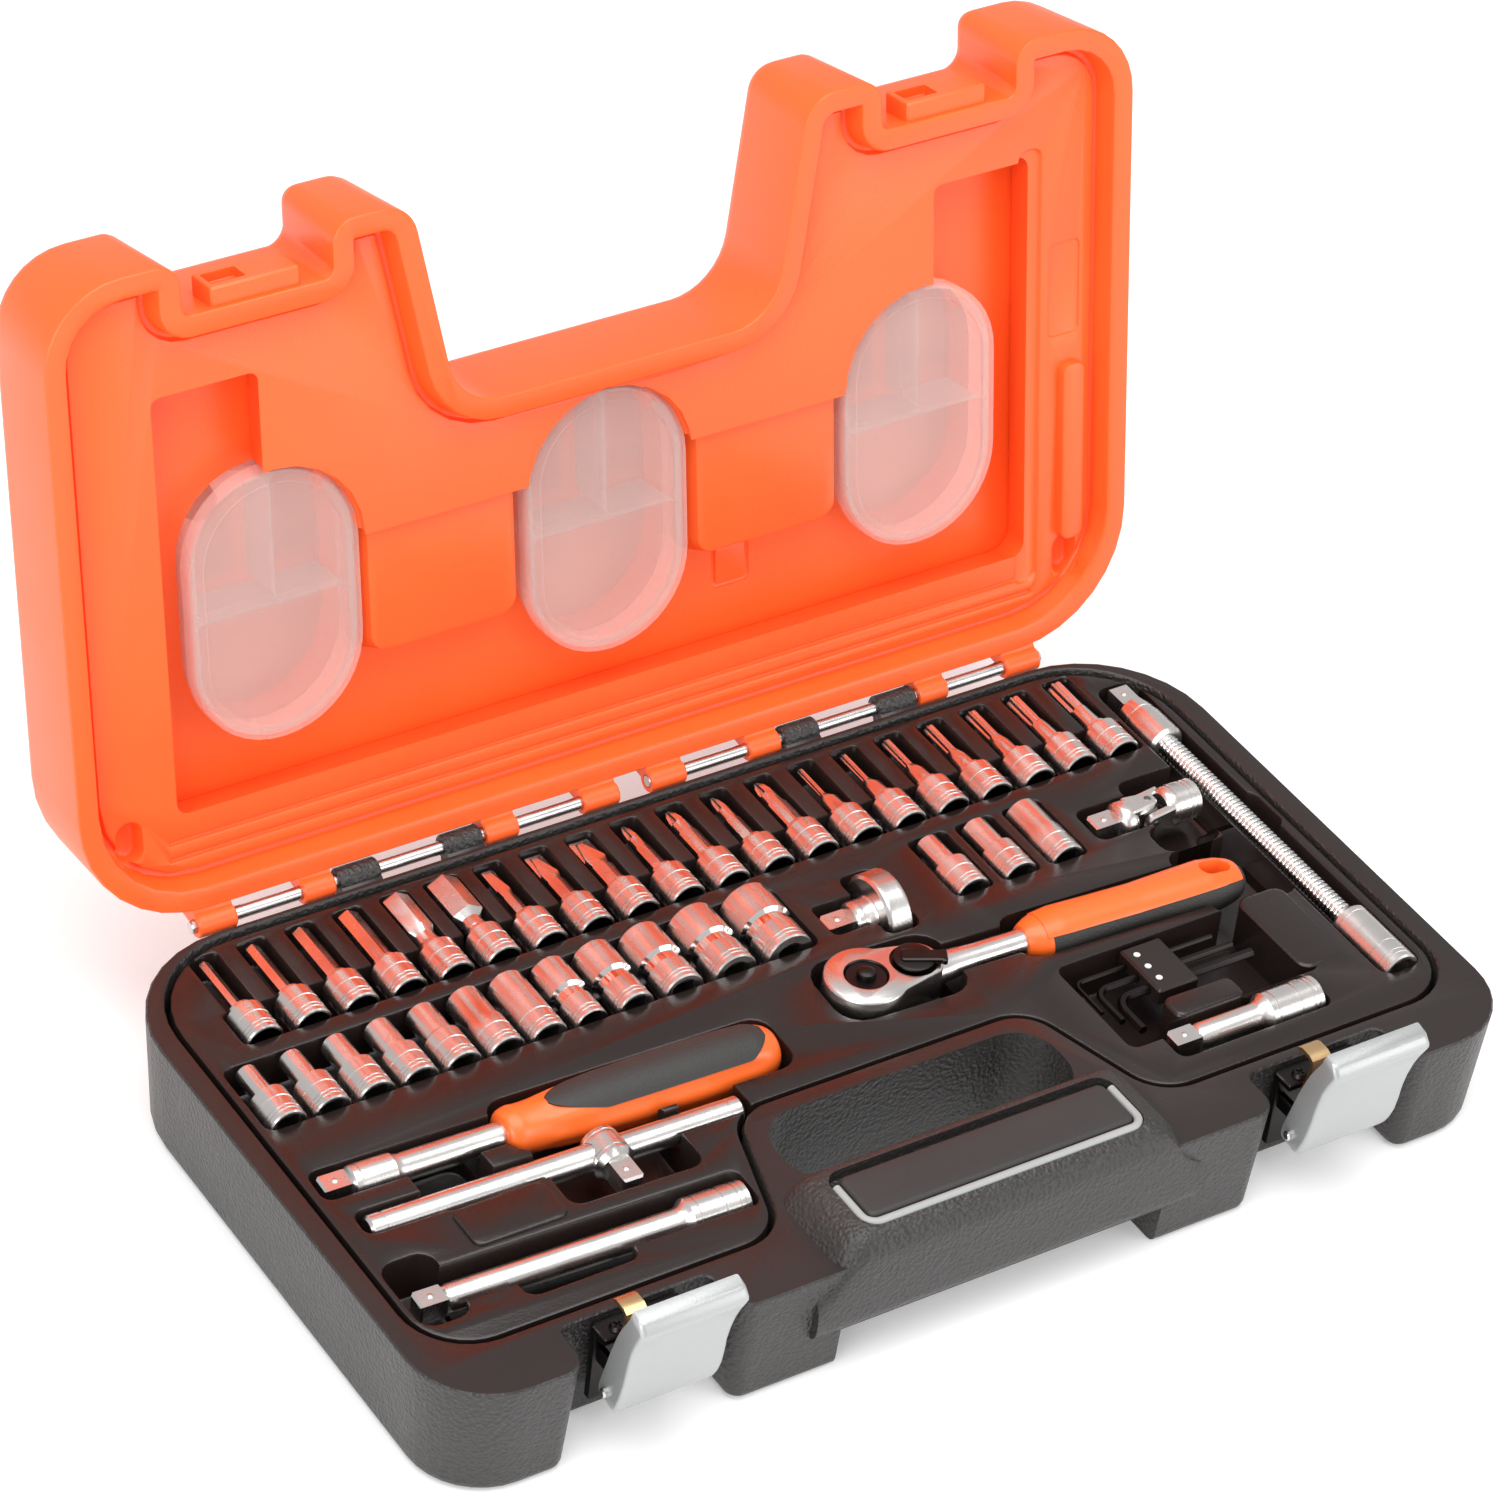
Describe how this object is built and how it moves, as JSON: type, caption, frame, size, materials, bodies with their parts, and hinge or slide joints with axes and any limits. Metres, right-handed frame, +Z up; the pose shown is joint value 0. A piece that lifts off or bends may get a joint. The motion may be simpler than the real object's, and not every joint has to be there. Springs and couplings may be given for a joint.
{
  "type": "socket wrench set in case",
  "caption": "Quarter-inch socket and bit set in a hinged carrying case: latches, handle, lift-out tools, ratchet, organizers in the lid.",
  "frame": {"origin": "middle of the flat underside of the case's base", "axes": "+X to the right along the case, +Y towards the lid's hinge, +Z up"},
  "size_m": [0.352, 0.2871, 0.2347],
  "materials": {
    "shell": "moulded black plastic, pebbled",
    "tray": "moulded black plastic, semi-matte",
    "orange": "moulded orange plastic, fine texture",
    "rubber": "soft black rubber",
    "piping": "light grey soft plastic",
    "chrome": "satin chrome",
    "steel": "plain steel",
    "latch": "silver grey finish",
    "brass": "yellow-passivated spring steel",
    "frosted": "frosted clear plastic",
    "black_steel": "black oxide steel"
  },
  "bodies": {
    "case_base": {"base_shell": "shell", "tool_tray": "tray", "handle_grip": "rubber", "grip_piping": "piping", "hinge_pin_left": "steel", "hinge_pin_right": "steel", "latch_bracket_left": "black_steel", "latch_bracket_right": "black_steel", "latch_pin_left": "steel", "latch_pin_right": "steel"},
    "lid": {"lid_shell": "orange", "lid_liner": "orange"},
    "latch_lever_left": {"latch_lever_left": "latch"},
    "latch_hook_left": {"latch_hook_left": "brass"},
    "latch_lever_right": {"latch_lever_right": "latch"},
    "latch_hook_right": {"latch_hook_right": "brass"},
    "organizer_1": {"organizer_box_1": "frosted"},
    "organizer_lid_1": {"organizer_cover_1": "frosted"},
    "organizer_2": {"organizer_box_2": "frosted"},
    "organizer_lid_2": {"organizer_cover_2": "frosted"},
    "organizer_3": {"organizer_box_3": "frosted"},
    "organizer_lid_3": {"organizer_cover_3": "frosted"},
    "ratchet": {"ratchet_body": "chrome", "ratchet_grip": "rubber"},
    "ratchet_drive": {"ratchet_drive": "steel"},
    "ratchet_release_button": {"ratchet_release_button": "black_steel"},
    "ratchet_reverse_lever": {"ratchet_reverse_lever": "black_steel"},
    "spinner": {"spinner_handle": "orange", "spinner_shaft": "chrome"},
    "t_bar": {"t_bar": "chrome"},
    "t_bar_head": {"t_bar_head": "chrome"},
    "extension_100": {"extension_100": "chrome"},
    "extension_50": {"extension_50": "chrome"},
    "flex_extension": {"flex_drive_end": "chrome", "flex_shaft": "chrome", "flex_socket_end": "chrome"},
    "universal_joint": {"uj_drive_yoke": "chrome"},
    "uj_cross": {"uj_cross": "steel"},
    "uj_socket": {"uj_socket_yoke": "chrome"},
    "spinner_disc": {"spinner_disc": "chrome"},
    "hex_key_holder": {"hex_key_holder": "tray"},
    "hex_key_1": {"hex_key_1": "black_steel"},
    "hex_key_2": {"hex_key_2": "black_steel"},
    "hex_key_3": {"hex_key_3": "black_steel"},
    "hex_socket_4": {"hex_socket_4": "chrome"},
    "hex_socket_4_5": {"hex_socket_4_5": "chrome"},
    "hex_socket_5": {"hex_socket_5": "chrome"},
    "hex_socket_5_5": {"hex_socket_5_5": "chrome"},
    "hex_socket_6": {"hex_socket_6": "chrome"},
    "hex_socket_7": {"hex_socket_7": "chrome"},
    "hex_socket_8": {"hex_socket_8": "chrome"},
    "hex_socket_9": {"hex_socket_9": "chrome"},
    "hex_socket_10": {"hex_socket_10": "chrome"},
    "hex_socket_11": {"hex_socket_11": "chrome"},
    "hex_socket_12": {"hex_socket_12": "chrome"},
    "hex_socket_13": {"hex_socket_13": "chrome"},
    "star_socket_1": {"star_socket_1": "chrome"},
    "star_socket_2": {"star_socket_2": "chrome"},
    "star_socket_3": {"star_socket_3": "chrome"}
  },
  "joints": [
    {"name": "lid_hinge", "type": "hinge", "parent": "case_base", "child": "lid", "pos_m": [0, 0.1022, 0.0382], "axis": [-1, 0, 0], "range_deg": [-101, 0]},
    {"name": "latch_left", "type": "hinge", "parent": "case_base", "child": "latch_lever_left", "pos_m": [-0.1115, -0.096, 0.024], "axis": [1, 0, 0], "range_deg": [-11, 65]},
    {"name": "latch_hook_turn_left", "type": "hinge", "parent": "latch_lever_left", "child": "latch_hook_left", "pos_m": [-0.1115, -0.09237, 0.02369], "axis": [1, 0, 0], "range_deg": [-56, 9.5]},
    {"name": "latch_right", "type": "hinge", "parent": "case_base", "child": "latch_lever_right", "pos_m": [0.1115, -0.096, 0.024], "axis": [1, 0, 0], "range_deg": [-11, 65]},
    {"name": "latch_hook_turn_right", "type": "hinge", "parent": "latch_lever_right", "child": "latch_hook_right", "pos_m": [0.1115, -0.09237, 0.02369], "axis": [1, 0, 0], "range_deg": [-56, 9.5]},
    {"name": "organizer_out_1", "type": "slide", "parent": "lid", "child": "organizer_1", "axis": [0, -0.9816, 0.1908], "range_m": [0, 0.04]},
    {"name": "organizer_cover_off_1", "type": "slide", "parent": "organizer_1", "child": "organizer_lid_1", "axis": [0, -0.9816, 0.1908], "range_m": [0, 0.015]},
    {"name": "organizer_out_2", "type": "slide", "parent": "lid", "child": "organizer_2", "axis": [0, -0.9816, 0.1908], "range_m": [0, 0.04]},
    {"name": "organizer_cover_off_2", "type": "slide", "parent": "organizer_2", "child": "organizer_lid_2", "axis": [0, -0.9816, 0.1908], "range_m": [0, 0.015]},
    {"name": "organizer_out_3", "type": "slide", "parent": "lid", "child": "organizer_3", "axis": [0, -0.9816, 0.1908], "range_m": [0, 0.04]},
    {"name": "organizer_cover_off_3", "type": "slide", "parent": "organizer_3", "child": "organizer_lid_3", "axis": [0, -0.9816, 0.1908], "range_m": [0, 0.015]},
    {"name": "ratchet_lift", "type": "slide", "parent": "case_base", "child": "ratchet", "axis": [0, 0, 1], "range_m": [0, 0.05]},
    {"name": "ratchet_drive_spin", "type": "hinge", "parent": "ratchet", "child": "ratchet_drive", "pos_m": [0.014, -0.0015, 0.0352], "axis": [0, 0, 1], "continuous": true},
    {"name": "ratchet_button_press", "type": "slide", "parent": "ratchet", "child": "ratchet_release_button", "axis": [0, 0, 1], "range_m": [-0.0015, 0], "stiffness_N_per_m": 400, "springref_m": 0.0005},
    {"name": "ratchet_reverse_turn", "type": "hinge", "parent": "ratchet", "child": "ratchet_reverse_lever", "pos_m": [0.02948, -0.00226, 0.0352], "axis": [0, 0, 1], "range_deg": [0, 50]},
    {"name": "spinner_lift", "type": "slide", "parent": "case_base", "child": "spinner", "axis": [0, 0, 1], "range_m": [0, 0.05]},
    {"name": "t_bar_lift", "type": "slide", "parent": "case_base", "child": "t_bar", "axis": [0, 0, 1], "range_m": [0, 0.05]},
    {"name": "t_bar_head_slide", "type": "slide", "parent": "t_bar", "child": "t_bar_head", "axis": [0.9996, -0.0297, 0], "range_m": [-0.012, 0.012]},
    {"name": "extension_100_lift", "type": "slide", "parent": "case_base", "child": "extension_100", "axis": [0, 0, 1], "range_m": [0, 0.05]},
    {"name": "extension_50_lift", "type": "slide", "parent": "case_base", "child": "extension_50", "axis": [0, 0, 1], "range_m": [0, 0.05]},
    {"name": "flex_extension_lift", "type": "slide", "parent": "case_base", "child": "flex_extension", "axis": [0, 0, 1], "range_m": [0, 0.05]},
    {"name": "universal_joint_lift", "type": "slide", "parent": "case_base", "child": "universal_joint", "axis": [0, 0, 1], "range_m": [0, 0.05]},
    {"name": "uj_swing", "type": "hinge", "parent": "universal_joint", "child": "uj_cross", "pos_m": [0.1325, 0.0286, 0.035], "axis": [0, 0, 1], "range_deg": [-18, 18]},
    {"name": "uj_tilt", "type": "hinge", "parent": "uj_cross", "child": "uj_socket", "pos_m": [0.1325, 0.0286, 0.035], "axis": [0, -1, 0], "range_deg": [0, 25]},
    {"name": "spinner_disc_lift", "type": "slide", "parent": "case_base", "child": "spinner_disc", "axis": [0, 0, 1], "range_m": [0, 0.045]},
    {"name": "hex_key_holder_lift", "type": "slide", "parent": "case_base", "child": "hex_key_holder", "axis": [0, 0, 1], "range_m": [0, 0.045]},
    {"name": "hex_key_slide_1", "type": "slide", "parent": "hex_key_holder", "child": "hex_key_1", "axis": [1, 0, 0], "range_m": [0, 0.005]},
    {"name": "hex_key_slide_2", "type": "slide", "parent": "hex_key_holder", "child": "hex_key_2", "axis": [1, 0, 0], "range_m": [0, 0.005]},
    {"name": "hex_key_slide_3", "type": "slide", "parent": "hex_key_holder", "child": "hex_key_3", "axis": [1, 0, 0], "range_m": [0, 0.005]},
    {"name": "hex_socket_4_lift", "type": "slide", "parent": "case_base", "child": "hex_socket_4", "axis": [0, 0, 1], "range_m": [0, 0.04]},
    {"name": "hex_socket_4_5_lift", "type": "slide", "parent": "case_base", "child": "hex_socket_4_5", "axis": [0, 0, 1], "range_m": [0, 0.04]},
    {"name": "hex_socket_5_lift", "type": "slide", "parent": "case_base", "child": "hex_socket_5", "axis": [0, 0, 1], "range_m": [0, 0.04]},
    {"name": "hex_socket_5_5_lift", "type": "slide", "parent": "case_base", "child": "hex_socket_5_5", "axis": [0, 0, 1], "range_m": [0, 0.04]},
    {"name": "hex_socket_6_lift", "type": "slide", "parent": "case_base", "child": "hex_socket_6", "axis": [0, 0, 1], "range_m": [0, 0.04]},
    {"name": "hex_socket_7_lift", "type": "slide", "parent": "case_base", "child": "hex_socket_7", "axis": [0, 0, 1], "range_m": [0, 0.04]},
    {"name": "hex_socket_8_lift", "type": "slide", "parent": "case_base", "child": "hex_socket_8", "axis": [0, 0, 1], "range_m": [0, 0.04]},
    {"name": "hex_socket_9_lift", "type": "slide", "parent": "case_base", "child": "hex_socket_9", "axis": [0, 0, 1], "range_m": [0, 0.04]},
    {"name": "hex_socket_10_lift", "type": "slide", "parent": "case_base", "child": "hex_socket_10", "axis": [0, 0, 1], "range_m": [0, 0.04]},
    {"name": "hex_socket_11_lift", "type": "slide", "parent": "case_base", "child": "hex_socket_11", "axis": [0, 0, 1], "range_m": [0, 0.04]},
    {"name": "hex_socket_12_lift", "type": "slide", "parent": "case_base", "child": "hex_socket_12", "axis": [0, 0, 1], "range_m": [0, 0.04]},
    {"name": "hex_socket_13_lift", "type": "slide", "parent": "case_base", "child": "hex_socket_13", "axis": [0, 0, 1], "range_m": [0, 0.04]},
    {"name": "star_socket_1_lift", "type": "slide", "parent": "case_base", "child": "star_socket_1", "axis": [0, 0, 1], "range_m": [0, 0.04]},
    {"name": "star_socket_2_lift", "type": "slide", "parent": "case_base", "child": "star_socket_2", "axis": [0, 0, 1], "range_m": [0, 0.04]},
    {"name": "star_socket_3_lift", "type": "slide", "parent": "case_base", "child": "star_socket_3", "axis": [0, 0, 1], "range_m": [0, 0.04]}
  ],
  "couplings": [
    {"joint": "latch_hook_turn_left", "follows": "latch_left", "ratio": -0.85},
    {"joint": "latch_hook_turn_right", "follows": "latch_right", "ratio": -0.85},
    {"joint": "hex_key_slide_2", "follows": "hex_key_slide_1", "ratio": 1},
    {"joint": "hex_key_slide_3", "follows": "hex_key_slide_1", "ratio": 1}
  ]
}
